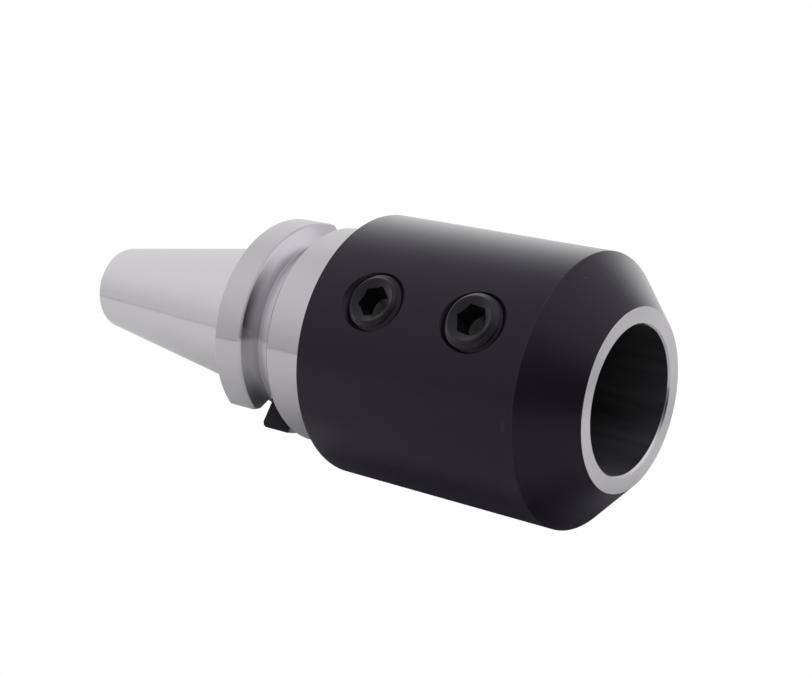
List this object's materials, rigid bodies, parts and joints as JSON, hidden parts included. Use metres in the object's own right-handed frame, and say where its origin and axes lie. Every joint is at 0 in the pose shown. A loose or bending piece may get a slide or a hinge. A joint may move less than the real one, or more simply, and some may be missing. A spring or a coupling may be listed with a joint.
{
  "type": "side lock end mill holder",
  "caption": "Side lock end mill holder: a steep ground taper, a grooved flange with drive slots, and a black barrel whose side screws clamp a round cutter shank in the tool bore.",
  "frame": {"origin": "centre of the nose face on the tool bore's axis, the surface the holder stands on, nose down", "axes": "+Z along the holder's axis from the nose to the small end of the taper; -Y is the side the clamp screws come in from; the drive slots lie on X"},
  "size_m": [0.075, 0.0768, 0.1854],
  "materials": {
    "holder_steel": "Hardened alloy steel: taper, flange, neck and nose ring ground bright, barrel, cone, bore and slots black oxide.",
    "screw_steel": "Hardened steel, black oxide with a light oil film."
  },
  "bodies": {
    "holder": {"holder_body": "holder_steel"},
    "front_screw": {"front_clamp_screw": "screw_steel"},
    "rear_screw": {"rear_clamp_screw": "screw_steel"}
  },
  "joints": [
    {"name": "front_screw_slide", "type": "slide", "parent": "holder", "child": "front_screw", "axis": [0, 1, 0], "range_m": [-0.008, 0.006]},
    {"name": "rear_screw_slide", "type": "slide", "parent": "holder", "child": "rear_screw", "axis": [0, 1, 0], "range_m": [-0.008, 0.006]}
  ]
}
